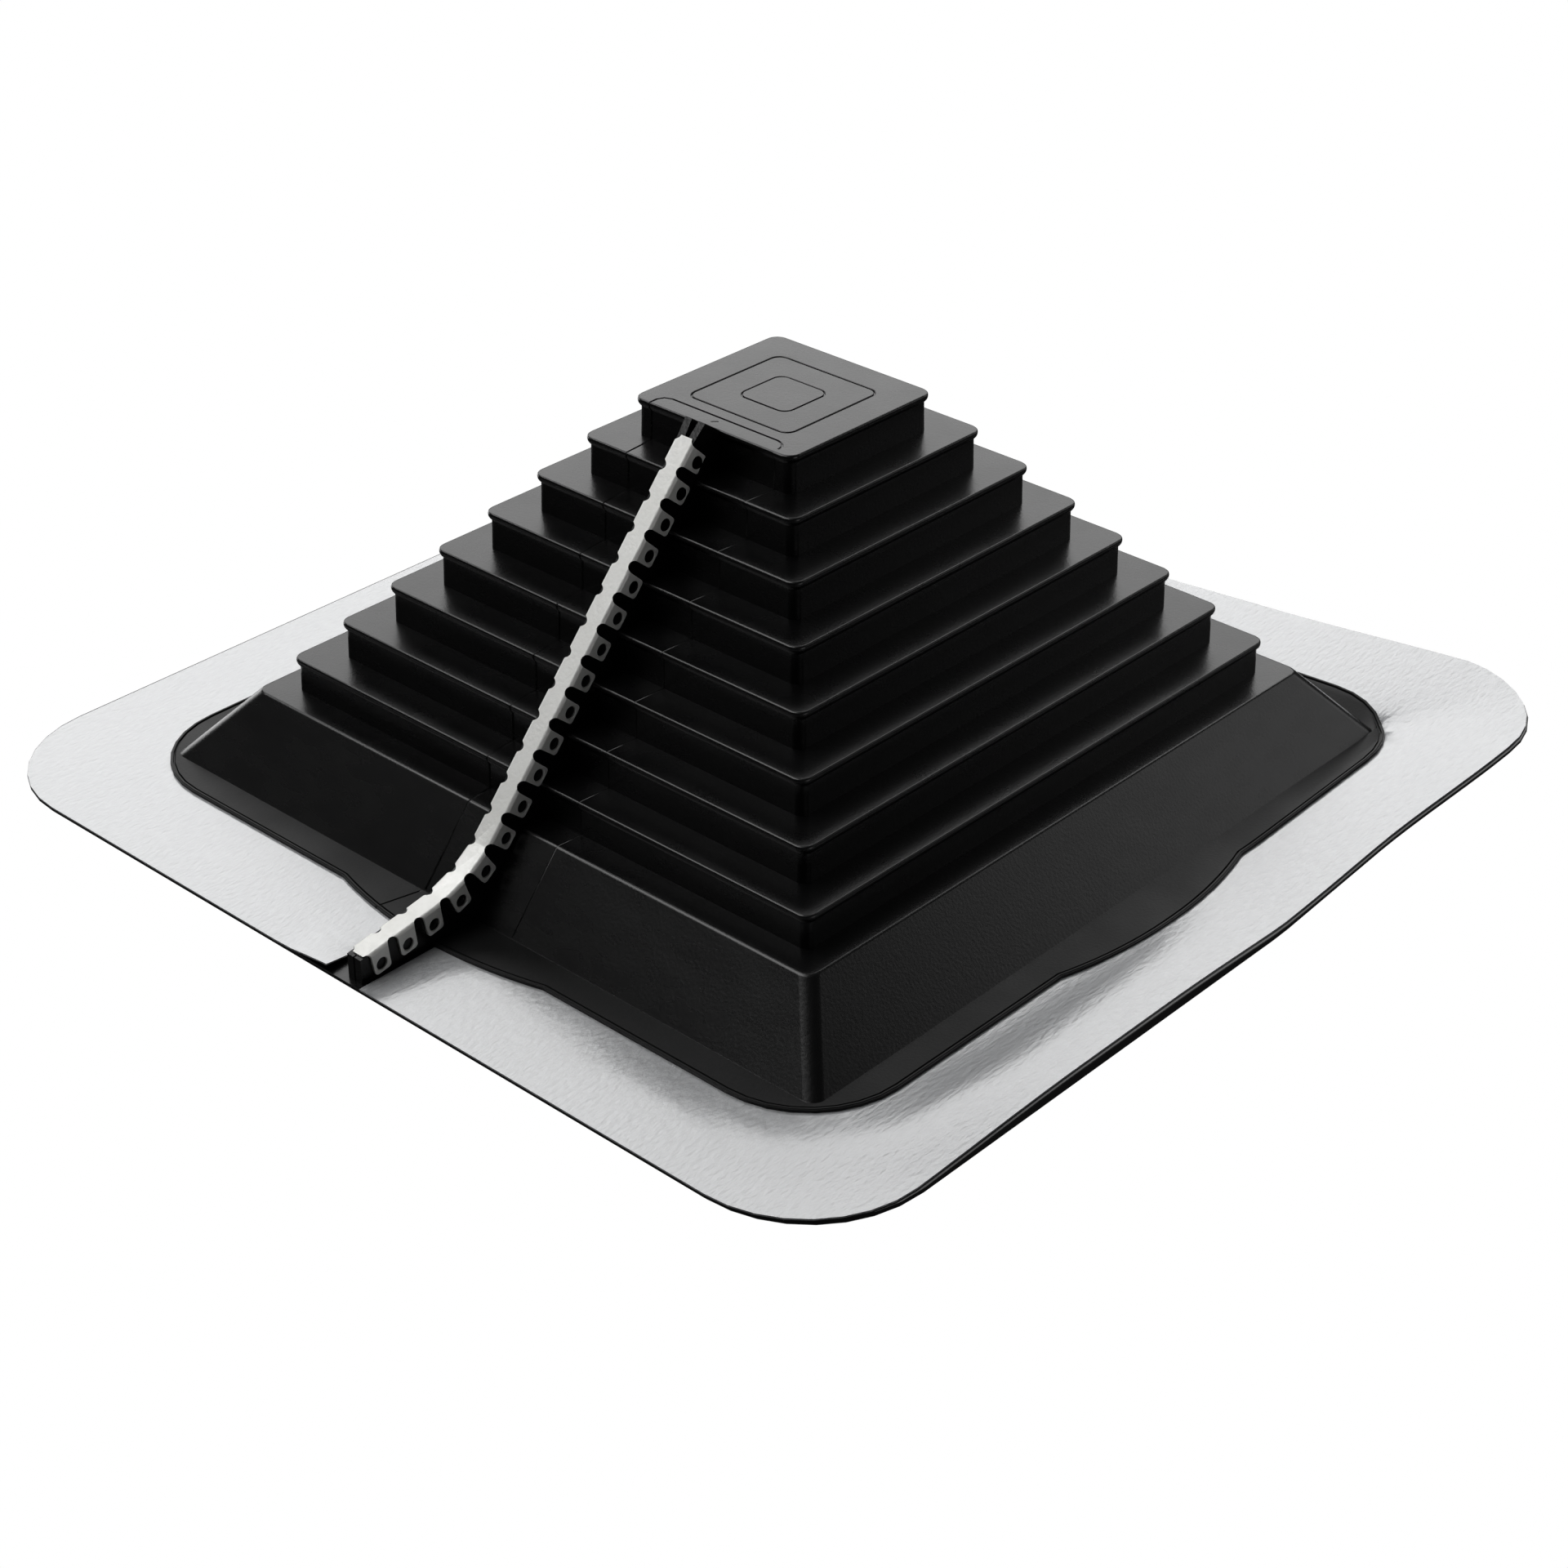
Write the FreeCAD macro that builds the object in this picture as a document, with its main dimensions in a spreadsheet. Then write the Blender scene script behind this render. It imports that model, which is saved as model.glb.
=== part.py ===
import FreeCAD, Part
import math
import os
import Sketcher
from FreeCAD import Placement, Rotation, Vector

# Square split flashing boot for a pipe through a roof.  A moulded rubber boot rises in square
# tiers, each cut away to suit the pipe.  A soft aluminium ring dresses its flange, and a clip
# strip closes the split that lets the boot go round a pipe already in place.
# Millimetres, +Z up, origin at the middle of the underside.  The split is on the -Y side.

doc = FreeCAD.newDocument("pipe_flashing_boot")
sheet = doc.addObject("Spreadsheet::Sheet", "Sizes")

DIMENSIONS = [
    # stepped boot
    ("tier_count", 8, "square tiers, one for each pipe size"),
    ("top_side", 70.6, "wall to wall across the top tier"),
    ("step_run", 12.5, "tread: how far each tier stands out from the one above"),
    ("tier_rise", 14.2, "height of a tier"),
    ("tier_corner", 3.2, "corner radius of a tier's wall"),
    ("wall_thick", 2.5, "rubber thickness of walls and treads"),
    ("rim_overhang", 1.3, "how far a rim stands proud of its wall"),
    ("rim_depth", 3.4, "height of the rim with its sloped underside"),
    ("rim_edge", 0.9, "height of the bevel on the upper edge of the rim"),
    # skirt, foot and flange
    ("ledge_run", 10.7, "flat ledge round the lowest tier"),
    ("ledge_height", 30.2, "underside to the ledge"),
    ("ledge_drop", 13.0, "lowest rim down to the ledge"),
    ("skirt_run", 22.0, "how far the skirt slopes out from the ledge to the foot"),
    ("skirt_wall", 3.3, "level thickness of the sloped skirt"),
    ("skirt_corner", 5.0, "corner radius of the skirt"),
    ("skirt_cavity_corner", 2.0, "corner radius inside the skirt"),
    ("foot_run", 12.5, "flat foot outside the skirt"),
    ("foot_corner", 38.0, "corner radius of the foot"),
    ("foot_swell", 7.0, "how far the disc that swells each side of the foot stands out"),
    ("foot_lip", 0.8, "rubber over the inner edge of the aluminium"),
    ("flange_width", 37.0, "flange outside the foot"),
    ("base_corner", 46.0, "corner radius of the flange"),
    ("base_thick", 2.5, "rubber thickness of the flange"),
    ("groove_count", 2, "grooves that leave sealing ribs under the flange"),
    ("groove_width", 6.0, "width of a sealing groove"),
    ("groove_pitch", 13.0, "spacing of the sealing grooves"),
    ("groove_depth", 0.8, "depth of a sealing groove"),
    ("groove_inset", 12.0, "edge of the flange to the first groove"),
    # aluminium ring
    ("flange_gauge", 0.6, "thickness of the aluminium"),
    ("flange_inset", 0.7, "rubber edge left showing round the aluminium"),
    ("flange_grip", 3.0, "width of aluminium held under the foot lip"),
    ("seam_gap", 16.0, "gap in the aluminium at the split"),
    # split and its lips
    ("fin_thick", 7.0, "thickness of the two lips together"),
    ("fin_reach", 8.4, "how far the lips stand off the line of the rims"),
    ("fin_bend", 46.0, "radius where the lips turn onto the flange"),
    ("toe_height", 11.9, "top of the lips at the edge of the flange"),
    ("toe_slope", 8.8, "fall of the lips over the flange, in degrees"),
    ("slit_width", 0.6, "width of the split"),
    ("seat_sink", 1.4, "how far the rims are cut back beside the lips, to seat the strip"),
    ("seat_fit", 0.4, "clearance beside the strip in its seat"),
    # cutting guides moulded in the top
    ("guide_pitch", 12.2, "spacing of the guides in from the wall of the top tier"),
    ("guide_corner", 4.5, "corner radius of the guides"),
    ("guide_width", 0.7, "width of a guide groove"),
    ("guide_depth", 0.6, "depth of a guide groove"),
    # clip strip
    ("tab_count", 18, "tabs down each flank of the strip"),
    ("tab_pitch", 11.75, "spacing of the tabs"),
    ("slot_width", 4.4, "gap between two tabs"),
    ("slot_bite", 1.4, "how far a slot bites into each side of the spine"),
    ("slot_bevel", 1.3, "bevel in the corners of a slot's closed end"),
    ("strip_gauge", 0.8, "thickness of the strip"),
    ("strip_fit", 0.05, "clearance of the strip over the lips"),
    ("strip_start", 6.0, "upper end of the lips to the upper end of the strip"),
    ("flank_depth", 10.4, "spine to tab tips, outside"),
    ("bend_radius", 1.5, "outer bend radius of the strip"),
    ("tab_corner", 1.6, "bevel on the lower corners of a tab"),
    ("hole_size", 4.2, "hole in a tab"),
    ("hole_sides", 12, "flats round a hole"),
    ("hole_inset", 2.8, "tip of a tab to the middle of its hole"),
]
WORKED_OUT = [
    ("top_height", "ledge_height + ledge_drop + (tier_count - 1) * tier_rise"),
    ("bottom_side", "top_side + 2 * (tier_count - 1) * step_run"),
    ("ledge_side", "bottom_side + 2 * ledge_run"),
    ("skirt_side", "ledge_side + 2 * skirt_run"),
    ("foot_side", "skirt_side + 2 * foot_run"),
    ("foot_round", "foot_side + 2 * foot_swell"),
    ("base_side", "foot_side + 2 * flange_width"),
    ("flange_top", "base_thick + flange_gauge"),
    ("foot_top", "flange_top + foot_lip"),
    ("skirt_flare", "skirt_run / (ledge_height - foot_top)"),
    ("rim_slope", "atan(tier_rise / step_run)"),
    ("tip_half", "top_side / 2 + rim_overhang"),
    ("fin_top_reach", "tip_half + fin_reach * sin(rim_slope)"),
    ("fin_top_height", "top_height + fin_reach * cos(rim_slope)"),
    ("seat_reach", "tip_half - seat_sink * sin(rim_slope) - step_run / 4"),
    ("seat_height", "top_height - seat_sink * cos(rim_slope) + tier_rise / 4"),
    ("seat_steps", "tier_count + 0.25"),
    ("toe_fall", "tan(toe_slope * 1 deg)"),
    ("rim_fall", "tier_rise / step_run"),
    ("fin_knee_reach", "(fin_top_height - toe_height - toe_fall * base_side / 2"
     " + rim_fall * fin_top_reach) / (rim_fall - toe_fall)"),
    ("fin_knee_height", "toe_height + toe_fall * (base_side / 2 - fin_knee_reach)"),
    ("strip_width", "fin_thick + 2 * strip_fit + 2 * strip_gauge"),
    ("spine_top", "strip_fit + strip_gauge"),
    ("tip_level", "spine_top - flank_depth"),
]

row = 1
for alias, value, meaning in DIMENSIONS:
    sheet.set("A%d" % row, alias)
    sheet.set("B%d" % row, str(value))
    sheet.set("C%d" % row, meaning)
    sheet.setAlias("B%d" % row, alias)
    row += 1
for alias, formula in WORKED_OUT:
    sheet.set("A%d" % row, alias)
    sheet.set("B%d" % row, "=" + formula)
    sheet.setAlias("B%d" % row, alias)
    row += 1
doc.recompute()


def size(alias):
    """A plain number read from the sheet."""
    value = getattr(sheet, alias)
    return float(getattr(value, "Value", value))


def new_body(name):
    body = doc.addObject("PartDesign::Body", name)
    body.Label = name
    return body


def new_sketch(body, name, plane, height="0"):
    """A sketch on one of the body's origin planes, lifted along the plane's normal."""
    sketch = body.newObject("Sketcher::SketchObject", name)
    support = [f for f in body.Origin.OriginFeatures if f.Role == plane][0]
    sketch.AttachmentSupport = (support, [""])
    sketch.MapMode = "FlatFace"
    sketch.setExpression("AttachmentOffset.Base.z", height)
    doc.recompute([sketch])
    return sketch


def evaluate(sketch, expression):
    value = sketch.evalExpression(expression)
    return float(getattr(value, "Value", value))


def drive(sketch, index, expression):
    """Tie a dimension of the sketch to the sheet."""
    sketch.setExpression("Constraints[%d]" % index, expression)


def add_rounded_square(sketch, side, corner):
    """A square centred on the sketch, with equal rounded corners."""
    half = evaluate(sketch, side) / 2
    radius = evaluate(sketch, corner)
    flat = half - radius
    first = sketch.GeometryCount
    turns = [(1, 1), (-1, 1), (-1, -1), (1, -1)]
    for quarter, (sx, sy) in enumerate(turns):
        centre = Vector(sx * flat, sy * flat, 0)
        circle = Part.Circle(centre, Vector(0, 0, 1), radius)
        start = quarter * math.pi / 2
        sketch.addGeometry(Part.ArcOfCircle(circle, start, start + math.pi / 2), False)
    ends = [((flat, half), (-flat, half)), ((-half, flat), (-half, -flat)),
            ((-flat, -half), (flat, -half)), ((half, -flat), (half, flat))]
    for (x0, y0), (x1, y1) in ends:
        sketch.addGeometry(Part.LineSegment(Vector(x0, y0, 0), Vector(x1, y1, 0)), False)
    for quarter in range(4):
        arc = first + quarter
        line = first + 4 + quarter
        next_arc = first + (quarter + 1) % 4
        sketch.addConstraint(Sketcher.Constraint("Tangent", arc, 2, line, 1))
        sketch.addConstraint(Sketcher.Constraint("Tangent", line, 2, next_arc, 1))
        if quarter:
            sketch.addConstraint(Sketcher.Constraint("Equal", first, arc))
    for line, way in ((4, "Horizontal"), (5, "Vertical"), (6, "Horizontal"), (7, "Vertical")):
        sketch.addConstraint(Sketcher.Constraint(way, first + line))
    sketch.addConstraint(Sketcher.Constraint("Equal", first + 4, first + 5))
    sketch.addConstraint(Sketcher.Constraint("Symmetric", first, 3, first + 2, 3, -1, 1))
    index = sketch.addConstraint(Sketcher.Constraint("Radius", first, radius))
    drive(sketch, index, corner)
    index = sketch.addConstraint(
        Sketcher.Constraint("DistanceX", first + 5, 1, first + 7, 1, 2 * half))
    drive(sketch, index, side)


def rounded_square(body, name, side, corner, height="0"):
    sketch = new_sketch(body, name, "XY_Plane", height)
    add_rounded_square(sketch, side, corner)
    return sketch


def square_frame(body, name, side, corner, width, height):
    """Two rounded squares, one inside the other: the outline of a groove."""
    sketch = new_sketch(body, name, "XY_Plane", height)
    add_rounded_square(sketch, side, corner)
    add_rounded_square(sketch, "%s - 2 * %s" % (side, width), "%s - %s" % (corner, width))
    return sketch


def disc(body, name, diameter, height="0"):
    sketch = new_sketch(body, name, "XY_Plane", height)
    radius = evaluate(sketch, diameter) / 2
    sketch.addGeometry(Part.Circle(Vector(0, 0, 0), Vector(0, 0, 1), radius), False)
    sketch.addConstraint(Sketcher.Constraint("Coincident", 0, 3, -1, 1))
    drive(sketch, sketch.addConstraint(Sketcher.Constraint("Diameter", 0, 2 * radius)), diameter)
    return sketch


def outline(body, name, plane, corners, radii=None):
    """A closed outline through corners given as pairs of sheet expressions.

    radii maps a corner's number to the expression for the radius that rounds it.
    """
    sketch = new_sketch(body, name, plane)
    radii = radii or {}
    places = [Vector(evaluate(sketch, x), evaluate(sketch, y), 0) for x, y in corners]
    count = len(places)
    cut = []
    for n, place in enumerate(places):
        before = (places[n - 1] - place).normalize()
        after = (places[(n + 1) % count] - place).normalize()
        if n in radii:
            radius = evaluate(sketch, radii[n])
            half_angle = before.getAngle(after) / 2
            reach = radius / math.tan(half_angle)
            centre = place + (before + after).normalize() * (radius / math.sin(half_angle))
            cut.append((place + before * reach, place + after * reach, centre, radius))
        else:
            cut.append((place, place, None, 0))
    lines = []
    for n in range(count):
        start = cut[n][1]
        end = cut[(n + 1) % count][0]
        lines.append(sketch.addGeometry(Part.LineSegment(start, end), False))
    for n in range(count):
        line_in = lines[n - 1]
        line_out = lines[n]
        if n not in radii:
            sketch.addConstraint(Sketcher.Constraint("Coincident", line_in, 2, line_out, 1))
            pin_corner(sketch, line_out, 1, places[n], corners[n])
            continue
        start, end, centre, radius = cut[n]
        middle = centre + (places[n] - centre).normalize() * radius
        arc = sketch.addGeometry(Part.Arc(start, middle, end), False)
        counter_clockwise = (start - centre).cross(end - centre).z > 0
        first, last = (1, 2) if counter_clockwise else (2, 1)
        sketch.addConstraint(Sketcher.Constraint("Tangent", line_in, 2, arc, first))
        sketch.addConstraint(Sketcher.Constraint("Tangent", arc, last, line_out, 1))
        index = sketch.addConstraint(Sketcher.Constraint("Radius", arc, radius))
        drive(sketch, index, radii[n])
        point = sketch.addGeometry(Part.Point(places[n]), True)
        sketch.addConstraint(Sketcher.Constraint("PointOnObject", point, 1, line_in))
        sketch.addConstraint(Sketcher.Constraint("PointOnObject", point, 1, line_out))
        pin_corner(sketch, point, 1, places[n], corners[n])
    return sketch


def pin_corner(sketch, geometry, end, place, corner):
    """Place a corner by its two distances from the axes, both tied to the sheet."""
    for kind, value, expression in (("DistanceX", place.x, corner[0]),
                                    ("DistanceY", place.y, corner[1])):
        index = sketch.addConstraint(Sketcher.Constraint(kind, -1, 1, geometry, end, value))
        drive(sketch, index, expression)


def pad(body, name, sketch, length, symmetric=False):
    feature = body.newObject("PartDesign::Pad", name)
    feature.Profile = sketch
    feature.setExpression("Length", length)
    if symmetric:
        feature.SideType = "Symmetric"
    return feature


def pocket(body, name, sketch, length, symmetric=False, upward=False):
    feature = body.newObject("PartDesign::Pocket", name)
    feature.Profile = sketch
    feature.setExpression("Length", length)
    feature.Reversed = upward
    if symmetric:
        feature.SideType = "Symmetric"
    return feature


def loft(body, name, kind, sections):
    feature = body.newObject(kind, name)
    feature.Profile = sections[0]
    feature.Sections = sections[1:]
    feature.Ruled = True
    return feature


# --- rubber boot: one moulding --------------------------------------------------------------
boot = new_body("rubber_boot")

sketch = rounded_square(boot, "base_outline", "Sizes.base_side", "Sizes.base_corner")
pad(boot, "base_sheet", sketch, "Sizes.base_thick")

# The foot swells in the middle of each side, where a disc stands out past the square.  Its
# core stops at the aluminium's hidden edge, and its lip covers that edge.
FOOT_LAYERS = [("core", "2 * Sizes.flange_grip", "0", "Sizes.foot_top"),
               ("lip", "0", "Sizes.flange_top", "Sizes.foot_lip")]
for layer, inset, level, thickness in FOOT_LAYERS:
    sketch = rounded_square(boot, "foot_%s_square" % layer, "Sizes.foot_side - " + inset,
                            "Sizes.foot_corner - %s / 2" % inset, level)
    pad(boot, "foot_%s" % layer, sketch, thickness)
    sketch = disc(boot, "foot_%s_disc" % layer, "Sizes.foot_round - " + inset, level)
    pad(boot, "foot_%s_swell" % layer, sketch, thickness)

loft(boot, "skirt", "PartDesign::AdditiveLoft", [
    rounded_square(boot, "skirt_foot", "Sizes.skirt_side", "Sizes.skirt_corner",
                   "Sizes.foot_top"),
    rounded_square(boot, "skirt_ledge", "Sizes.ledge_side", "Sizes.skirt_corner",
                   "Sizes.ledge_height")])


def tier_side(number):
    """Wall to wall across a tier, counted from the lowest."""
    return "(Sizes.top_side + 2 * (Sizes.tier_count - %d) * Sizes.step_run)" % (number + 1)


def tier_height(number):
    """Top of a tier, counted from the lowest."""
    return "(Sizes.ledge_height + Sizes.ledge_drop + %d * Sizes.tier_rise)" % number


# Section of a tier from its root up: how far below its top, how far out from its wall.
RIM_SECTION = [
    ("root", "(Sizes.tier_rise + Sizes.wall_thick / 2)", "0"),
    ("neck", "Sizes.rim_depth", "0"),
    ("lip", "Sizes.rim_edge", "Sizes.rim_overhang"),
    ("crown", "0", "(Sizes.rim_overhang / 2)"),
]
tier_total = int(size("tier_count"))
for number in range(tier_total):
    sections = []
    for level, drop, proud in RIM_SECTION:
        sections.append(rounded_square(
            boot, "tier_%d_%s" % (number + 1, level),
            "%s + 2 * %s" % (tier_side(number), proud),
            "Sizes.tier_corner + %s" % proud,
            "%s - %s" % (tier_height(number), drop)))
    loft(boot, "tier_%d" % (number + 1), "PartDesign::AdditiveLoft", sections)

# The rims are cut back along the split, on the slope of the rims, so that the tabs of the strip
# seat between them.
SEAT_CORNERS = [
    ("-Sizes.seat_reach", "Sizes.seat_height"),
    ("-Sizes.seat_reach - Sizes.seat_steps * Sizes.step_run", "Sizes.seat_height"),
    ("-Sizes.seat_reach - Sizes.seat_steps * Sizes.step_run",
     "Sizes.seat_height - Sizes.seat_steps * Sizes.tier_rise"),
]
sketch = outline(boot, "strip_seat_outline", "YZ_Plane", SEAT_CORNERS)
pocket(boot, "strip_seat", sketch, "Sizes.strip_width + 2 * Sizes.seat_fit", symmetric=True)

# Two lips stand along the split as one fin: off the line of the rims, round a wide bend, and
# out over the flange to its edge.  The knee is where the slope of the fin would meet its toe if
# the bend were sharp.  What lies inside the boot goes with the cavity below.
FIN_CORNERS = [
    ("-Sizes.fin_top_reach", "Sizes.fin_top_height"),
    ("-Sizes.fin_knee_reach", "Sizes.fin_knee_height"),
    ("-Sizes.base_side / 2", "Sizes.toe_height"),
    ("-Sizes.base_side / 2", "Sizes.base_thick / 2"),
    ("-Sizes.top_side / 4", "Sizes.base_thick / 2"),
    ("-Sizes.top_side / 4", "Sizes.top_height - Sizes.wall_thick / 2"),
    ("-Sizes.tip_half", "Sizes.top_height"),
]
sketch = outline(boot, "fin_outline", "YZ_Plane", FIN_CORNERS, {1: "Sizes.fin_bend"})
pad(boot, "fin", sketch, "Sizes.fin_thick", symmetric=True)

# The inside follows the tiers, and opens through the flange.
for number in range(tier_total):
    half = "(%s / 2 - Sizes.wall_thick)" % tier_side(number)
    corners = [(half, half), ("-" + half, half), ("-" + half, "-" + half), (half, "-" + half)]
    sketch = outline(boot, "cavity_%d_outline" % (number + 1), "XY_Plane", corners)
    pocket(boot, "cavity_%d" % (number + 1), sketch,
           "%s - Sizes.wall_thick" % tier_height(number), upward=True)
loft(boot, "skirt_cavity", "PartDesign::SubtractiveLoft", [
    rounded_square(boot, "skirt_cavity_foot",
                   "Sizes.skirt_side + 2 * (Sizes.foot_top * Sizes.skirt_flare"
                   " - Sizes.skirt_wall)", "Sizes.skirt_cavity_corner"),
    rounded_square(boot, "skirt_cavity_ledge",
                   "Sizes.ledge_side + 2 * (Sizes.wall_thick * Sizes.skirt_flare"
                   " - Sizes.skirt_wall)", "Sizes.skirt_cavity_corner",
                   "Sizes.ledge_height - Sizes.wall_thick")])

# Sealing grooves under the flange, which leave ribs between them.
for number in range(int(size("groove_count"))):
    inset = "(Sizes.groove_inset + %d * Sizes.groove_pitch)" % number
    sketch = square_frame(boot, "groove_%d_outline" % (number + 1),
                          "Sizes.base_side - 2 * %s" % inset,
                          "Sizes.base_corner - Sizes.groove_inset / 2",
                          "Sizes.groove_width", "0")
    pocket(boot, "groove_%d" % (number + 1), sketch, "Sizes.groove_depth", upward=True)

# Cutting guides in the top, for pipes smaller than the top tier.
for number in (1, 2):
    sketch = square_frame(boot, "guide_%d_outline" % number,
                          "Sizes.top_side - %d * Sizes.guide_pitch" % (2 * number),
                          "Sizes.guide_corner", "Sizes.guide_width", "Sizes.top_height")
    pocket(boot, "guide_%d" % number, sketch, "Sizes.guide_depth")

# The split runs from the edge of the flange up to the rim of the top tier, and through the
# ends of the lips, which stand free of that rim.
SLIT_CORNERS = [
    ("-Sizes.base_side / 2 - Sizes.fin_thick", "-Sizes.base_thick"),
    ("-Sizes.top_side / 4", "-Sizes.base_thick"),
    ("-Sizes.top_side / 4", "Sizes.top_height - Sizes.rim_depth"),
    ("-Sizes.tip_half - Sizes.slit_width", "Sizes.top_height - Sizes.rim_depth"),
    ("-Sizes.tip_half - Sizes.slit_width", "Sizes.fin_top_height + Sizes.fin_thick"),
    ("-Sizes.base_side / 2 - Sizes.fin_thick", "Sizes.fin_top_height + Sizes.fin_thick"),
]
sketch = outline(boot, "slit_outline", "YZ_Plane", SLIT_CORNERS)
pocket(boot, "slit", sketch, "Sizes.slit_width", symmetric=True)

# --- aluminium flange: a flat soft ring held under the foot lip ------------------------------
flange = new_body("aluminium_flange")
sketch = rounded_square(flange, "ring_outline", "Sizes.base_side - 2 * Sizes.flange_inset",
                        "Sizes.base_corner - Sizes.flange_inset", "Sizes.base_thick")
pad(flange, "ring", sketch, "Sizes.flange_gauge")
sketch = rounded_square(flange, "hole_outline", "Sizes.foot_side - 2 * Sizes.flange_grip",
                        "Sizes.foot_corner - Sizes.flange_grip", "Sizes.flange_top")
pocket(flange, "hole", sketch, "Sizes.flange_gauge")
sketch = disc(flange, "swell_outline", "Sizes.foot_round - 2 * Sizes.flange_grip",
              "Sizes.flange_top")
pocket(flange, "swell", sketch, "Sizes.flange_gauge")
GAP_CORNERS = [
    ("-Sizes.seam_gap / 2", "-Sizes.base_side / 2"),
    ("Sizes.seam_gap / 2", "-Sizes.base_side / 2"),
    ("Sizes.seam_gap / 2", "-Sizes.foot_side / 4"),
    ("-Sizes.seam_gap / 2", "-Sizes.foot_side / 4"),
]
sketch = outline(flange, "gap_outline", "XY_Plane", GAP_CORNERS)
pocket(flange, "seam_gap", sketch, "2 * Sizes.flange_top", upward=True)

# --- closing strip: a channel of slotted sheet, pressed over the lips -------------------------
# One link of the strip, half a slot long at each end.  X is across the lips, Y along them
# and Z off them, with the ridge of the lips at Z = 0.
link = new_body("strip_link")
CHANNEL_CORNERS = [
    ("-Sizes.strip_width / 2", "Sizes.tip_level"),
    ("-Sizes.strip_width / 2 + Sizes.strip_gauge", "Sizes.tip_level"),
    ("-Sizes.strip_width / 2 + Sizes.strip_gauge", "Sizes.strip_fit"),
    ("Sizes.strip_width / 2 - Sizes.strip_gauge", "Sizes.strip_fit"),
    ("Sizes.strip_width / 2 - Sizes.strip_gauge", "Sizes.tip_level"),
    ("Sizes.strip_width / 2", "Sizes.tip_level"),
    ("Sizes.strip_width / 2", "Sizes.spine_top"),
    ("-Sizes.strip_width / 2", "Sizes.spine_top"),
]
sketch = outline(link, "channel_outline", "XZ_Plane", CHANNEL_CORNERS,
                 {6: "Sizes.bend_radius", 7: "Sizes.bend_radius"})
pad(link, "channel", sketch, "Sizes.tab_pitch", symmetric=True)

# The slots part the tabs and bite into the spine, with their closed ends bevelled.  Each link
# has a quarter of the opening at each of its corners.
SLOT_CORNERS = [
    ("(Sizes.strip_width / 2 - Sizes.slot_bite)", "(Sizes.tab_pitch / 2 + Sizes.strip_gauge)"),
    ("(Sizes.strip_width / 2 - Sizes.slot_bite)",
     "((Sizes.tab_pitch - Sizes.slot_width) / 2 + Sizes.slot_bevel)"),
    ("(Sizes.strip_width / 2 - Sizes.slot_bite + Sizes.slot_bevel)",
     "((Sizes.tab_pitch - Sizes.slot_width) / 2)"),
    ("(Sizes.strip_width / 2 + Sizes.strip_gauge)", "((Sizes.tab_pitch - Sizes.slot_width) / 2)"),
    ("(Sizes.strip_width / 2 + Sizes.strip_gauge)",
     "(Sizes.tab_pitch / 2 + Sizes.strip_gauge)"),
]
for side, across in (("left", "-"), ("right", "")):
    for end, along in (("lower", "-"), ("upper", "")):
        corners = [(across + x, along + y) for x, y in SLOT_CORNERS]
        name = "slot_%s_%s" % (end, side)
        sketch = outline(link, name + "_outline", "XY_Plane", corners)
        pocket(link, name, sketch, "4 * Sizes.flank_depth", symmetric=True)

# The lower corners of the tabs are bevelled.
BEVEL_CORNERS = [
    ("((Sizes.tab_pitch - Sizes.slot_width) / 2 - Sizes.tab_corner)",
     "Sizes.tip_level - Sizes.strip_gauge"),
    ("((Sizes.tab_pitch - Sizes.slot_width) / 2 - Sizes.tab_corner)", "Sizes.tip_level"),
    ("((Sizes.tab_pitch - Sizes.slot_width) / 2)", "Sizes.tip_level + Sizes.tab_corner"),
    ("(Sizes.tab_pitch / 2)", "Sizes.tip_level + Sizes.tab_corner"),
    ("(Sizes.tab_pitch / 2)", "Sizes.tip_level - Sizes.strip_gauge"),
]
for end, along in (("lower", "-"), ("upper", "")):
    corners = [(along + y, z) for y, z in BEVEL_CORNERS]
    sketch = outline(link, "tab_corner_%s_outline" % end, "YZ_Plane", corners)
    pocket(link, "tab_corner_%s" % end, sketch, "2 * Sizes.strip_width", symmetric=True)

# One cutter makes the hole in both tabs.
hole = link.newObject("PartDesign::SubtractivePrism", "hole")
hole.Polygon = int(size("hole_sides"))
hole.setExpression("Circumradius", "Sizes.hole_size / 2")
hole.setExpression("Height", "2 * Sizes.strip_width")
hole.Placement = Placement(
    Vector(-size("strip_width"), 0, size("tip_level") + size("hole_inset")),
    Rotation(Vector(0, 1, 0), 90))
hole.setExpression("Placement.Base.x", "-Sizes.strip_width")
hole.setExpression("Placement.Base.z", "Sizes.tip_level + Sizes.hole_inset")
doc.recompute()


def ridge_point(distance):
    """A point on the ridge of the lips, measured along it from the upper end."""
    top = Vector(0, -size("fin_top_reach"), size("fin_top_height"))
    knee = Vector(0, -size("fin_knee_reach"), size("fin_knee_height"))
    slope = math.radians(size("rim_slope"))
    toe = math.radians(size("toe_slope"))
    radius = size("fin_bend")
    down = Vector(0, -math.cos(slope), -math.sin(slope))
    out = Vector(0, -math.cos(toe), -math.sin(toe))
    tangent = radius * math.tan((slope - toe) / 2)
    straight = (knee - top).Length - tangent
    curved = radius * (slope - toe)
    if distance <= straight:
        return top + down * distance
    if distance >= straight + curved:
        return knee + out * (tangent + distance - straight - curved)
    turned = slope - (distance - straight) / radius
    centre = top + down * straight + Vector(0, -math.sin(slope), math.cos(slope)) * radius
    return centre + Vector(0, math.sin(turned), -math.cos(turned)) * radius


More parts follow.
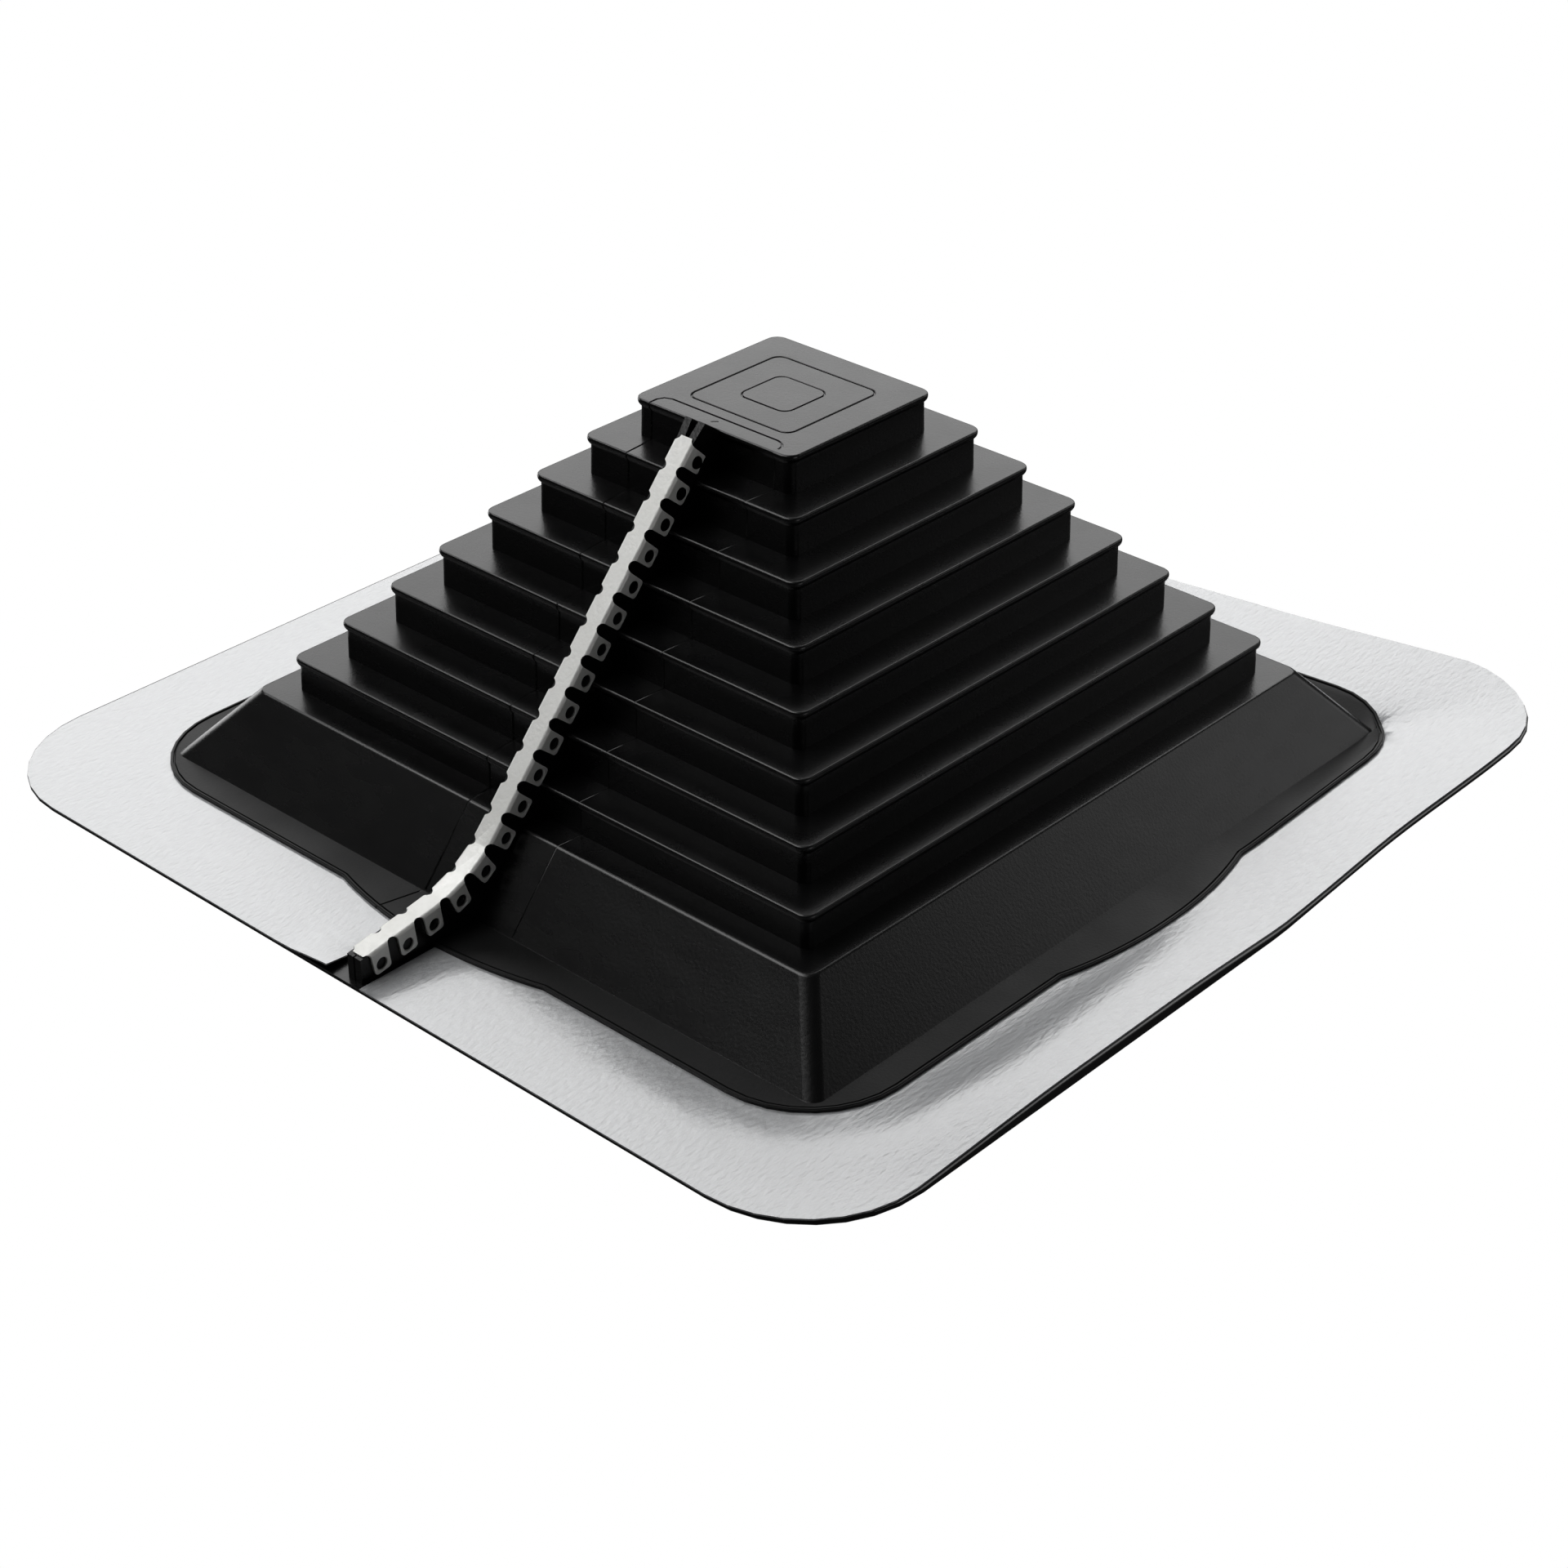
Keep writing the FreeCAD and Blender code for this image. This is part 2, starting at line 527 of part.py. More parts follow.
# The links hinge at the middle of their slots, on the ridge of the lips.
joints = [ridge_point(size("strip_start") + n * size("tab_pitch"))
          for n in range(int(size("tab_count")) + 1)]
links = []
for number in range(len(joints) - 1):
    upper, lower = joints[number], joints[number + 1]
    way = upper - lower
    angle = math.degrees(math.atan2(way.z, way.y))
    piece = doc.addObject("App::Link", "link_%02d" % (number + 1))
    piece.LinkedObject = link
    piece.LinkPlacement = Placement((upper + lower) * 0.5, Rotation(Vector(1, 0, 0), angle))
    links.append(piece)
strip = doc.addObject("Part::MultiFuse", "closing_strip")
strip.Label = "closing_strip"
strip.Shapes = links
strip.Refine = True

# --- check and write --------------------------------------------------------------------------
doc.recompute()
for item in doc.Objects:
    if "Invalid" in item.State or "Error" in item.State:
        raise RuntimeError("%s failed: %s" % (item.Name, item.State))
os.makedirs("parts", exist_ok=True)
for node in (boot, flange, strip):
    shape = node.Shape
    if shape.isNull() or not shape.isValid() or len(shape.Solids) != 1:
        raise RuntimeError("%s is not one valid solid" % node.Label)
    shape.exportStep("parts/%s.step" % node.Label)
    box = shape.BoundBox
    print("%-18s volume %9.0f  x %.1f..%.1f  y %.1f..%.1f  z %.2f..%.2f" % (
        node.Label, shape.Volume, box.XMin, box.XMax, box.YMin, box.YMax, box.ZMin, box.ZMax))
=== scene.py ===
import bmesh
import bpy
import math
from mathutils import Matrix, Vector


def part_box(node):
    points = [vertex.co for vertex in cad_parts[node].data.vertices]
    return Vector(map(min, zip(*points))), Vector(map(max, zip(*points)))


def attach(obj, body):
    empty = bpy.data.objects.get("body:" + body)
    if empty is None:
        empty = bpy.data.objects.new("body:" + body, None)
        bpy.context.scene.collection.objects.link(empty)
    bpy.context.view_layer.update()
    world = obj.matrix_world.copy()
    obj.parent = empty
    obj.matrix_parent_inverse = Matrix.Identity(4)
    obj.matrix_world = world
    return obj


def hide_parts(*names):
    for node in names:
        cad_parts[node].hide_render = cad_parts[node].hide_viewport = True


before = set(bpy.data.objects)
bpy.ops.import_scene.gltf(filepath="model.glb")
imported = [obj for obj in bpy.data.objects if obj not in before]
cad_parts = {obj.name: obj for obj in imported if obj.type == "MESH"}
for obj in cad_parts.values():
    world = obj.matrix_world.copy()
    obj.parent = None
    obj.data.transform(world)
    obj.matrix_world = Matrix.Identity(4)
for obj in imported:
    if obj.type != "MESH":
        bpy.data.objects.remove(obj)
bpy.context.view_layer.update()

MM = 0.001

# --- camera, floor and light -----------------------------------------------------------------
# A long lens looks down on the corner between the split side and the side to its right.  The
# floor and the studio round it are one pale surround, so the black rubber shows its form in
# what it reflects.
camera_turn = math.radians(-47.93)
camera_rise = math.radians(31.38)
camera_roll = math.radians(0.41)
camera_reach = 1148.7 * MM
look_at = Vector((1.7, 1.5, -14.2)) * MM

away = Vector((math.cos(camera_rise) * math.cos(camera_turn),
               math.cos(camera_rise) * math.sin(camera_turn),
               math.sin(camera_rise)))
bpy.ops.object.select_all(action="DESELECT")
bpy.ops.object.camera_add(location=look_at + camera_reach * away)
camera = bpy.context.object
camera.name = "camera"
facing = (-away).to_track_quat("-Z", "Y").to_matrix().to_4x4()
camera.matrix_world = (Matrix.Translation(camera.location) @ facing
                       @ Matrix.Rotation(camera_roll, 4, "Z"))
camera.data.lens = 71.42
camera.data.sensor_width = 36.0
camera.data.shift_x = -0.00195
camera.data.clip_end = 20.0
bpy.context.scene.camera = camera


def shader(name, **sockets):
    """A new material, its node tree and its Principled shader with the sockets given."""
    material = bpy.data.materials.new(name)
    material.use_nodes = True
    principled = material.node_tree.nodes["Principled BSDF"]
    for socket, value in sockets.items():
        principled.inputs[socket.replace("_", " ")].default_value = value
    return material, material.node_tree, principled


floor_radius = 9.0
studio_height = 12.0
floor_drop = 0.3 * MM
bpy.ops.object.select_all(action="DESELECT")
bpy.ops.mesh.primitive_cylinder_add(vertices=96, radius=floor_radius, depth=studio_height,
                                    end_fill_type="NGON",
                                    location=(0, 0, studio_height / 2 - floor_drop))
floor = bpy.context.object
floor.name = "floor"
floor_paint, _, floor_shader = shader("floor_paint", Roughness=0.9)
floor_shader.inputs["Base Color"].default_value = (0, 0, 0, 1)
floor_shader.inputs["Specular IOR Level"].default_value = 0.0
floor_shader.inputs["Emission Color"].default_value = (1, 1, 1, 1)
floor_shader.inputs["Emission Strength"].default_value = 1.0
floor.data.materials.append(floor_paint)
floor.visible_diffuse = False
floor.visible_glossy = False
floor.visible_shadow = False

studio = bpy.data.worlds.new("studio")
studio.use_nodes = True
studio.node_tree.nodes["Background"].inputs["Color"].default_value = (1, 1, 1, 1)
studio.node_tree.nodes["Background"].inputs["Strength"].default_value = 0.04
bpy.context.scene.world = studio
bpy.context.scene.view_settings.view_transform = "Standard"


light_reach = 2.0


def softbox(name, turn, rise, wide, high, radiance):
    """A softbox that faces the boot from a turn and a rise in degrees, and isn't seen itself."""
    turn = math.radians(turn)
    rise = math.radians(rise)
    place = Vector((math.cos(rise) * math.cos(turn), math.cos(rise) * math.sin(turn),
                    math.sin(rise))) * light_reach
    bpy.ops.object.select_all(action="DESELECT")
    bpy.ops.object.light_add(type="AREA", location=place)
    light = bpy.context.object
    light.name = name
    light.data.shape = "RECTANGLE"
    light.data.size = wide
    light.data.size_y = high
    light.data.energy = radiance * math.pi * wide * high
    light.rotation_euler = (-place).to_track_quat("-Z", "Y").to_euler()
    light.visible_camera = False


softbox("back_light", 132.0, 33.0, wide=2.4, high=1.25, radiance=2.0)
softbox("top_light", 214.0, 61.0, wide=1.5, high=1.4, radiance=3.5)
softbox("right_light", 60.0, 20.0, wide=1.1, high=1.0, radiance=0.85)
softbox("left_light", 228.0, 30.0, wide=1.0, high=1.0, radiance=0.04)
softbox("side_light", 2.0, 4.0, wide=1.0, high=1.0, radiance=1.0)
softbox("edge_light", 176.0, 2.0, wide=1.2, high=0.8, radiance=2.6)

# --- stepped boot ----------------------------------------------------------------------------
# The boot proper is moulded in satin black rubber, in one piece with its foot and flange: eight
# square tiers with beaded rims, a flat ledge and a sloped skirt, hollow inside.  The wall is
# drawn as one closed skin, out from the ceiling, down the inside and then up the outside.
tier_count = 8
step_run = 12.5
tier_rise = 14.2
top_wall = 35.3
top_height = 142.6
wall_thick = 2.5
ledge_height = 30.2
ledge_half = 133.5
skirt_half = 155.5
foot_top = 3.9
skin_foot = 0.3
tier_corner = 3.2
skirt_corner = 5.0
inner_corner = 1.2
rim_proud = 1.3
rim_depth = 3.4
rim_face = 1.9
edge_round = 0.8
corner_steps = 8


def start_outline(name, half, radius, height):
    """A rounded square in edit mode, ready to be pulled into a solid."""
    bpy.ops.object.select_all(action="DESELECT")
    bpy.ops.mesh.primitive_plane_add(size=2 * half * MM, location=(0, 0, height * MM))
    piece = bpy.context.object
    piece.name = name
    bpy.ops.object.transform_apply(location=True, rotation=False, scale=False)
    bpy.ops.object.mode_set(mode="EDIT")
    bpy.ops.mesh.select_all(action="SELECT")
    bpy.ops.mesh.bevel(affect="VERTICES", offset=radius * MM, segments=corner_steps)
    bpy.ops.mesh.select_all(action="SELECT")
    return piece


def pull_outline(piece, start, section):
    """Pulls the selected face through (half, corner radius, height) after (half, ...)."""
    half, radius, height = start
    for next_half, next_radius, next_height in section:
        bpy.ops.mesh.extrude_region_move(
            TRANSFORM_OT_translate={"value": (0, 0, (next_height - height) * MM)})
        mesh = bmesh.from_edit_mesh(piece.data)
        ring = [v.index for v in mesh.verts if v.select]
        for sx, sy in ((1, 1), (-1, 1), (-1, -1), (1, -1)):
            bpy.ops.mesh.select_all(action="DESELECT")
            mesh = bmesh.from_edit_mesh(piece.data)
            mesh.verts.ensure_lookup_table()
            for number in ring:
                vertex = mesh.verts[number]
                if vertex.co.x * sx > 0 and vertex.co.y * sy > 0:
                    vertex.select_set(True)
            mesh.select_flush(True)
            centre = Vector((sx, sy, 0)) * (half - radius) * MM
            centre.z = next_height * MM
            if next_radius != radius:
                grow = next_radius / radius
                bpy.ops.transform.resize(value=(grow, grow, 1), center_override=centre)
            shift = (next_half - next_radius) - (half - radius)
            if shift:
                bpy.ops.transform.translate(value=(sx * shift * MM, sy * shift * MM, 0))
        mesh = bmesh.from_edit_mesh(piece.data)
        mesh.verts.ensure_lookup_table()
        for number in ring:
            mesh.verts[number].select_set(True)
        mesh.select_flush(True)
        half, radius, height = next_half, next_radius, next_height


def soften(section, reach, steps=3):
    """Rounds the outer corners of a section by a small arc each, and leaves the roots sharp."""
    rounded = [section[0]]
    for before, here, after in zip(section, section[1:], section[2:]):
        here, before, after = Vector(here), Vector(before), Vector(after)
        back = before - here
        on = after - here
        if on.x * back.z - on.z * back.x <= 0:
            rounded.append(tuple(here))
            continue
        cut = min(reach, 0.45 * back.length, 0.45 * on.length)
        start = here + back.normalized() * cut
        end = here + on.normalized() * cut
        for step in range(steps + 1):
            t = step / steps
            point = start.lerp(here, t).lerp(here.lerp(end, t), t)
            rounded.append(tuple(point))
    rounded.append(section[-1])
    return rounded


inside = []
for number in range(tier_count - 1):
    half = top_wall - wall_thick + number * step_run
    drop = top_height - wall_thick - (number + 1) * tier_rise
    inside.append((half, inner_corner, drop))
    inside.append((half + step_run, inner_corner, drop))
widest = top_wall - wall_thick + (tier_count - 1) * step_run
inside.append((widest, inner_corner, ledge_height - wall_thick))
inside.append((ledge_half - 1.2, 2.0, ledge_height - wall_thick))
inside.append((skirt_half - 0.3, 2.0, skin_foot))

outside = [(skirt_half + 3.0, skirt_corner, skin_foot),
           (skirt_half + 3.0, skirt_corner, foot_top - 0.6),
           (skirt_half, skirt_corner, foot_top + 0.4),
           (ledge_half, skirt_corner, ledge_height)]
for number in reversed(range(tier_count)):
    wall = top_wall + number * step_run
    top = top_height - number * tier_rise
    root = ledge_height if number == tier_count - 1 else top - tier_rise
    outside += [(wall + 0.3, 3.4, root),
                (wall, tier_corner, top - rim_depth),
                (wall + rim_proud, tier_corner + rim_proud, top - rim_face),
                (wall + rim_proud, tier_corner + rim_proud, top)]
for guide in (23.4, 11.2):
    outside += [(guide + 0.35, 4.35, top_height), (guide + 0.2, 4.2, top_height - 0.6),
                (guide - 0.2, 3.8, top_height - 0.6), (guide - 0.35, 3.65, top_height)]

ceiling = (top_wall - wall_thick, inner_corner, top_height - wall_thick)
boot = start_outline("boot_tiers", *ceiling)
pull_outline(boot, ceiling, inside + soften(outside, edge_round))
bpy.ops.mesh.select_all(action="SELECT")
bpy.ops.mesh.normals_make_consistent(inside=False)
bpy.ops.object.mode_set(mode="OBJECT")


def marks(tree, scale, detail, stretch=(1, 1, 1)):
    """Noise on the piece's own coordinates, stretched along an axis where the marks run."""
    places = tree.nodes.new("ShaderNodeTexCoord")
    turned = tree.nodes.new("ShaderNodeMapping")
    turned.inputs["Scale"].default_value = stretch
    noise = tree.nodes.new("ShaderNodeTexNoise")
    noise.inputs["Scale"].default_value = scale
    noise.inputs["Detail"].default_value = detail
    tree.links.new(places.outputs["Object"], turned.inputs["Vector"])
    tree.links.new(turned.outputs["Vector"], noise.inputs["Vector"])
    return noise.outputs["Fac"]


def spread(tree, value, low, high, start=0.3, stop=0.7):
    """Spreads a noise over a range of values."""
    ranged = tree.nodes.new("ShaderNodeMapRange")
    for socket, number in (("From Min", start), ("From Max", stop),
                           ("To Min", low), ("To Max", high)):
        ranged.inputs[socket].default_value = number
    tree.links.new(value, ranged.inputs["Value"])
    return ranged.outputs["Result"]


def raise_marks(tree, shading, height, depth, strength, under=None, socket="Normal"):
    """Turns marks into a fine relief, depth in metres, over any relief under it."""
    relief = tree.nodes.new("ShaderNodeBump")
    relief.inputs["Distance"].default_value = depth
    relief.inputs["Strength"].default_value = strength
    tree.links.new(height, relief.inputs["Height"])
    if under:
        tree.links.new(under, relief.inputs["Normal"])
    tree.links.new(relief.outputs["Normal"], shading.inputs[socket])
    return relief.outputs["Normal"]


def tint(tree, value, *stops):
    """Turns a noise into shades between two (place, red, green, blue) stops."""
    shades = tree.nodes.new("ShaderNodeValToRGB")
    for element, (place, *colour) in zip(shades.color_ramp.elements, stops):
        element.position = place
        element.color = (*colour, 1)
    tree.links.new(value, shades.inputs["Fac"])
    return shades.outputs["Color"]


def finish_with(piece, material):
    """Gives a finished piece its material and its body."""
    piece.data.materials.clear()
    piece.data.materials.append(material)
    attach(piece, "root")


rubber, tree, gloss = shader("satin_rubber")
bloom = marks(tree, 9.0, 4.0)
scuffs = marks(tree, 60.0, 6.0, (1.0, 1.0, 3.0))
grain = marks(tree, 900.0, 2.0)
tree.links.new(tint(tree, bloom, (0.35, 0.0010, 0.0010, 0.0011), (0.75, 0.0022, 0.0022, 0.0024)),
               gloss.inputs["Base Color"])
worn = tree.nodes.new("ShaderNodeMath")
worn.operation = "ADD"
tree.links.new(spread(tree, bloom, 0.25, 0.29), worn.inputs[0])
tree.links.new(spread(tree, scuffs, -0.015, 0.025), worn.inputs[1])
tree.links.new(worn.outputs[0], gloss.inputs["Roughness"])
raise_marks(tree, gloss, grain, 0.00012, 0.35)
finish_with(boot, rubber)
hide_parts("rubber_boot")

# --- foot of the boot ------------------------------------------------------------------------
# A flat band of the same rubber round the skirt, with a duller skin.  It swells in the middle of
# each side, and ends in a narrow lip, with a groove behind it, that is moulded over the inner
# edge of the aluminium.
foot_half = 168.0
foot_corner = 38.0
foot_round = 175.0
mouth_half = 154.0
front_swell = 3.5
flange_top = 3.1
lip_cover = 0.3
lip_steps = ((0.25, 0.25), (0.55, 0.0), (0.15, -0.8), (0.4, 0.0), (0.3, 0.55))
base_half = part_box("rubber_boot")[1].x / MM
cut_pitch = 8.0
corner_rise = 12.5


def solid_outline(name, half, radius, low, high):
    """An upright solid with a rounded square outline."""
    piece = start_outline(name, half, radius, low)
    pull_outline(piece, (half, radius, low), [(half, radius, high)])
    bpy.ops.mesh.select_all(action="SELECT")
    bpy.ops.mesh.normals_make_consistent(inside=False)
    bpy.ops.object.mode_set(mode="OBJECT")
    return piece


def solid_disc(name, radius, low, high):
    """An upright round solid on the middle of the boot."""
    bpy.ops.object.select_all(action="DESELECT")
    bpy.ops.mesh.primitive_cylinder_add(vertices=192, radius=radius * MM,
                                        depth=(high - low) * MM,
                                        location=(0, 0, (low + high) / 2 * MM))
    disc = bpy.context.object
    disc.name = name
    bpy.ops.object.transform_apply(location=True, rotation=False, scale=False)
    return disc


def join_or_cut(piece, tool, operation):
    """Joins a solid to the piece, or cuts it away, and deletes it."""
    modifier = piece.modifiers.new("boolean", "BOOLEAN")
    modifier.operation = operation
    modifier.solver = "EXACT"
    modifier.object = tool
    bpy.ops.object.select_all(action="DESELECT")
    bpy.context.view_layer.objects.active = piece
    piece.select_set(True)
    bpy.ops.object.modifier_apply(modifier=modifier.name)
    bpy.data.objects.remove(tool, do_unlink=True)


def foot_solid(name, inset, low, high):
    """The swollen outline of the foot as a solid, moved in by a given inset."""
    solid = solid_outline(name, foot_half - inset, foot_corner - inset, low, high)
    join_or_cut(solid, solid_disc("swell", foot_round - inset, low, high), "UNION")
    fuller = solid_disc("swell", foot_round - inset, low, high)
    for vertex in fuller.data.vertices:
        vertex.co.y += front_swell * MM
    join_or_cut(solid, fuller, "UNION")
    return solid


def cut_in_strips(piece):
    """Cuts the flat faces both ways, so that the sheet can bend."""
    bpy.ops.object.select_all(action="DESELECT")
    bpy.context.view_layer.objects.active = piece
    piece.select_set(True)
    bpy.ops.object.mode_set(mode="EDIT")
    strips = int(2 * base_half / cut_pitch)
    for along in (Vector((1, 0, 0)), Vector((0, 1, 0))):
        for strip in range(1, strips + 1):
            bpy.ops.mesh.select_all(action="SELECT")
            place = (strip * cut_pitch - base_half) * MM
            bpy.ops.mesh.bisect(plane_co=along * place, plane_no=along)
    bpy.ops.mesh.select_all(action="SELECT")
    bpy.ops.mesh.remove_doubles(threshold=0.05 * MM)
    bpy.ops.object.mode_set(mode="OBJECT")


def ease(value, low, high):
    """0 below low, 1 above high, with an easy curve between."""
    t = min(1.0, max(0.0, (value - low) / (high - low)))
    return t * t * (3 - 2 * t)


def lift(x, y):
    """How far the flange has sprung up at a place, all in millimetres."""
    past_skirt = max(x - skirt_half, 0.0) ** 3 + max(y - skirt_half, 0.0) ** 3
    across_flange = past_skirt ** (1 / 3) / 48.0
    toward_corner = min(1.0, max(0.0, (x + y - 228.0) / 135.0))
    return corner_rise * min(1.0, across_flange) ** 0.4 * toward_corner


def pick(piece, parts, wanted):
    """Selects only the wanted faces or edges of a piece in edit mode."""
    bpy.ops.mesh.select_all(action="DESELECT")
    mesh = bmesh.from_edit_mesh(piece.data)
    for part in getattr(mesh, parts):
        part.select_set(wanted(part))
    bmesh.update_edit_mesh(piece.data)


foot = foot_solid("boot_foot", 0.0, flange_top, foot_top + lip_cover)
bpy.ops.object.mode_set(mode="EDIT")
pick(foot, "faces", lambda face: face.normal.z > 0.9)
bpy.ops.mesh.dissolve_limited(angle_limit=math.radians(1))
bpy.ops.mesh.inset(thickness=0.2 * MM, depth=0)
for width, rise in lip_steps:
    bpy.ops.mesh.inset(thickness=width * MM, depth=rise * MM)
bpy.ops.object.mode_set(mode="OBJECT")
join_or_cut(foot, solid_outline("mouth", mouth_half, 3.0, -1.0, 9.0), "DIFFERENCE")
cut_in_strips(foot)
for vertex in foot.data.vertices:
    vertex.co.z += lift(vertex.co.x / MM, vertex.co.y / MM) * MM

dull_rubber, tree, dull = shader("dull_rubber", Specular_IOR_Level=0.24)
tree.links.new(tint(tree, marks(tree, 25.0, 4.0), (0.35, 0.0010, 0.0010, 0.0011),
                    (0.75, 0.0024, 0.0024, 0.0026)), dull.inputs["Base Color"])
tree.links.new(spread(tree, marks(tree, 40.0, 5.0), 0.40, 0.48), dull.inputs["Roughness"])
raise_marks(tree, dull, marks(tree, 900.0, 2.0), 0.00012, 0.4)
finish_with(foot, dull_rubber)

# --- lines of the split panel ----------------------------------------------------------------
# The split is moulded in a panel of its own, let into the side of the mould.  Its joint leaves a
# fine line in the rubber, across the top near the edge and down the steps on both sides.
panel_top = 28.6
panel_foot = 21.3
panel_back = -29.1
line_width = 0.5
foot_line = foot_top + lip_cover


def scribe(piece, name, points, width):
    """Cuts a fine line in a piece, with a thin round wire laid along the points."""
    bpy.ops.object.select_all(action="DESELECT")
    bpy.ops.mesh.primitive_plane_add(size=MM, location=Vector(points[0]) * MM)
    wire = bpy.context.object
    wire.name = name
    bpy.ops.object.transform_apply(location=True, rotation=False, scale=False)
    bpy.ops.object.mode_set(mode="EDIT")
    bpy.ops.mesh.select_all(action="SELECT")
    bpy.ops.mesh.merge(type="CENTER")
    for before, here in zip(points, points[1:]):
        bpy.ops.mesh.extrude_region_move(
            TRANSFORM_OT_translate={"value": (Vector(here) - Vector(before)) * MM})
    bpy.ops.object.mode_set(mode="OBJECT")
    bpy.ops.object.convert(target="CURVE")
    wire.data.bevel_depth = width * MM
    wire.data.bevel_resolution = 1
    wire.data.use_fill_caps = True
    bpy.ops.object.convert(target="MESH")
    wire = bpy.context.object
    join_or_cut(piece, wire, "DIFFERENCE")
    bpy.ops.object.mode_set(mode="EDIT")
    bpy.ops.mesh.select_all(action="SELECT")
    bpy.ops.mesh.remove_doubles(threshold=0.005 * MM)
    bpy.ops.object.mode_set(mode="OBJECT")


def down_the_steps(hand):
    """The panel's side line from the rim of the top to the foot, in (x, y, z)."""
    points = []
    for half, _, height in reversed([corner for corner in outside if corner[0] >= top_wall]):
        if height <= ledge_height and half > ledge_half:
            continue
        along = (half - top_wall) / (ledge_half - top_wall)
        points.append((hand * (panel_top + (panel_foot - panel_top) * along), -half, height))
    return points + [(hand * panel_foot, -skirt_half + 0.3, foot_top + 0.6)]


def smooth_shading(piece, sharp):
    """Shades the small rounds smooth and keeps the flat faces flat."""
    bpy.ops.object.select_all(action="DESELECT")
    bpy.context.view_layer.objects.active = piece
    piece.select_set(True)
    bpy.ops.object.shade_smooth_by_angle(angle=math.radians(sharp))
    flats = piece.modifiers.new("flats", "WEIGHTED_NORMAL")
    flats.keep_sharp = True
    bpy.ops.object.modifier_apply(modifier=flats.name)


top_line = [(24.5, panel_back, top_height), (-panel_top + 4.0, panel_back, top_height),
            (-panel_top + 1.2, panel_back - 1.1, top_height),
            (-panel_top, panel_back - 3.6, top_height)]
right_hook = [(24.0, panel_back, top_height), (26.6, panel_back - 0.7, top_height),
              (28.2, panel_back - 2.4, top_height), (28.8, panel_back - 5.0, top_height)]
scribe(boot, "left_line", top_line + down_the_steps(-1), line_width)
scribe(boot, "right_hook", right_hook, line_width)
scribe(boot, "right_line", down_the_steps(1), line_width * 0.5)
scribe(boot, "nick", [(-2.6, -33.4, top_height), (-0.6, -31.6, top_height)], 0.35)
scribe(foot, "foot_line", [(-22.0, -155.0, foot_line), (-25.9, -171.5, foot_line),
                           (-26.6, -176.0, foot_line - 1.0)], 0.4)
smooth_shading(boot, 50)
smooth_shading(foot, 40)

# --- flange sheet ----------------------------------------------------------------------------
# The rubber sheet that beds on the roof, moulded with the foot.  One corner has sprung up a
# little, and the sheet is fuller along the right edge.  Grooves underneath leave ribs to hold
# sealant.
base_corner = 46.0
base_thick = 2.5
base_shift = (-0.3 * MM, -2.6 * MM, 0)
groove_deep = 1.0
groove_width = 3.0
base_section = [(base_half, base_corner, 1.3), (base_half, base_corner, base_thick - 0.2),
                (base_half - 0.2, base_corner - 0.2, base_thick)]


def stretch(x, y):
    """How far the sprung corner is drawn out, along each side."""
    return ease(x + y, 285.0, 365.0) * 3.4


def swell(x, y):
    """How much thicker the sheet is along its right edge."""
    return ease(x, 171.0, 190.0) * ease(118.0 - abs(y + 62.0), 0.0, 95.0) * 2.4


def spring_up(piece, loose=None):
    """Bends a sheet of the flange up with its corner, and a loose sheet some more."""
    for vertex in piece.data.vertices:
        x, y, z = vertex.co / MM
        above = swell(x, y) if z > 1.9 else 0.0
        rise = lift(x, y) + above + (loose(x, y) if loose else 0.0)
        vertex.co += Vector((stretch(x, y), stretch(x, y), rise)) * MM


undercut = (base_half - 1.2, base_corner - 1.2, 0.0)
base = start_outline("boot_flange", *undercut)
pull_outline(base, undercut, base_section)
bpy.ops.mesh.select_all(action="SELECT")
bpy.ops.mesh.normals_make_consistent(inside=False)
bpy.ops.transform.translate(value=base_shift)
bpy.ops.object.mode_set(mode="OBJECT")
join_or_cut(base, solid_outline("mouth", mouth_half, 3.0, -5.0, 9.0), "DIFFERENCE")
for groove_half in (180.0, 190.0):
    groove = solid_outline("groove", groove_half, base_corner - 20.0, -3.0, groove_deep)
    rib = solid_outline("rib", groove_half - groove_width, base_corner - 20.0 - groove_width,
                        -4.0, groove_deep + 1.0)
    join_or_cut(groove, rib, "DIFFERENCE")
    join_or_cut(base, groove, "DIFFERENCE")
cut_in_strips(base)
spring_up(base)
smooth_shading(base, 40)
finish_with(base, rubber)

# --- aluminium ring --------------------------------------------------------------------------
# Soft crinkled sheet laid on the flange, with its inner edge held under the lip of the foot.  It
# is dressed to the roof by hand.  It has a gap where the split crosses it.
flange_inset = 1.4
flange_grip = 3.0
flange_stretch = 1.0075
flange_shift = (-0.2 * MM, -2.7 * MM, 0)
seam_low = -11.0
seam_high = 5.0
edge_curl = 2.4
front_wave = 0.55

ring = solid_outline("aluminium_ring", base_half - flange_inset, base_corner - flange_inset,
                     base_thick, flange_top)
bpy.ops.object.mode_set(mode="EDIT")
bpy.ops.mesh.select_all(action="SELECT")
bpy.ops.transform.resize(value=(1, flange_stretch, 1), center_override=(0, 0, 0))
bpy.ops.transform.translate(value=flange_shift)
bpy.ops.object.mode_set(mode="OBJECT")
join_or_cut(ring, foot_solid("hole", flange_grip, 0.0, 9.0), "DIFFERENCE")
bpy.ops.object.select_all(action="DESELECT")
bpy.ops.mesh.primitive_cube_add(
    size=1, location=((seam_low + seam_high) / 2 * MM, -base_half * MM, 0),
    scale=((seam_high - seam_low) * MM, 120 * MM, 40 * MM))
join_or_cut(ring, bpy.context.object, "DIFFERENCE")
cut_in_strips(ring)


